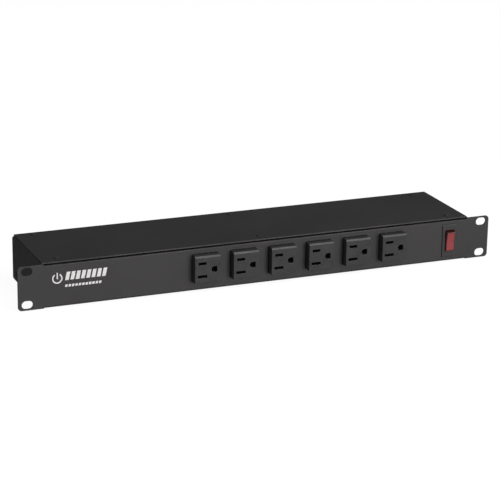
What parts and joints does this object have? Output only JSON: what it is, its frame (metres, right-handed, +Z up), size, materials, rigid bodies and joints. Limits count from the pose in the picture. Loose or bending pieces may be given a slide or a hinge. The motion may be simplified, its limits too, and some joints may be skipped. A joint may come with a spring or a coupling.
{
  "type": "rack power strip",
  "caption": "Low steel rack unit with slotted mounting ears, a row of single grounded outlets and a lighted rocker switch on its front.",
  "frame": {"origin": "centre of the four rack slots, on the back face of the mounting ears", "axes": "+X along the panel to the right as seen from the front, +Y to the rear, +Z up"},
  "size_m": [0.4826, 0.1187, 0.0453],
  "materials": {
    "black_powder_coat": "satin black powder coat",
    "black_screws": "black oxide",
    "zinc_steel": "zinc plated",
    "brass": "satin",
    "fibre_board": "matt fibre sheet",
    "outlet_plastic": "fine textured black",
    "switch_plastic": "satin black",
    "red_lens": "glossy translucent red",
    "lamp_glass": "clear glass",
    "black_wire": "satin insulation",
    "white_wire": "satin insulation",
    "green_wire": "satin insulation",
    "gland_plastic": "satin black nylon"
  },
  "bodies": {
    "case": {"front_panel": "black_powder_coat", "base_pan": "black_powder_coat", "top_cover": "black_powder_coat", "cover_screws": "black_screws", "bottom_screws": "black_screws", "side_screws": "black_screws", "panel_studs": "zinc_steel", "outlet_retainer": "zinc_steel", "retainer_nuts": "zinc_steel", "outlet_housing_1": "outlet_plastic", "outlet_housing_2": "outlet_plastic", "outlet_housing_3": "outlet_plastic", "outlet_housing_4": "outlet_plastic", "outlet_housing_5": "outlet_plastic", "outlet_housing_6": "outlet_plastic", "outlet_back_1": "outlet_plastic", "outlet_back_2": "outlet_plastic", "outlet_back_3": "outlet_plastic", "outlet_back_4": "outlet_plastic", "outlet_back_5": "outlet_plastic", "outlet_back_6": "outlet_plastic", "line_contact_1": "brass", "line_contact_2": "brass", "line_contact_3": "brass", "line_contact_4": "brass", "line_contact_5": "brass", "line_contact_6": "brass", "neutral_contact_1": "brass", "neutral_contact_2": "brass", "neutral_contact_3": "brass", "neutral_contact_4": "brass", "neutral_contact_5": "brass", "neutral_contact_6": "brass", "ground_contact_1": "brass", "ground_contact_2": "brass", "ground_contact_3": "brass", "ground_contact_4": "brass", "ground_contact_5": "brass", "ground_contact_6": "brass", "line_bus": "brass", "neutral_bus": "brass", "ground_bus": "brass", "bus_barrier": "fibre_board", "switch_housing": "switch_plastic", "switch_line_tab": "brass", "switch_load_tab": "brass", "switch_lamp_tab": "brass", "load_wire": "black_wire", "lamp_wire": "white_wire", "ground_wire": "green_wire", "ground_stud": "brass", "ground_nut": "brass", "cord_gland": "gland_plastic", "gland_cap": "gland_plastic", "gland_locknut": "gland_plastic"},
    "rocker": {"rocker": "red_lens", "rocker_plunger": "zinc_steel", "indicator_lamp": "lamp_glass"},
    "lever": {"contact_lever": "brass"}
  },
  "joints": [
    {"name": "rocker_hinge", "type": "hinge", "parent": "case", "child": "rocker", "pos_m": [0.1981, 0.002, 0], "axis": [-1, 0, 0], "range_deg": [0, 10]},
    {"name": "lever_hinge", "type": "hinge", "parent": "case", "child": "lever", "pos_m": [0.1981, 0.012, 0], "axis": [-1, 0, 0], "range_deg": [-10, 0]}
  ],
  "couplings": [
    {"joint": "lever_hinge", "follows": "rocker_hinge", "ratio": -1}
  ]
}
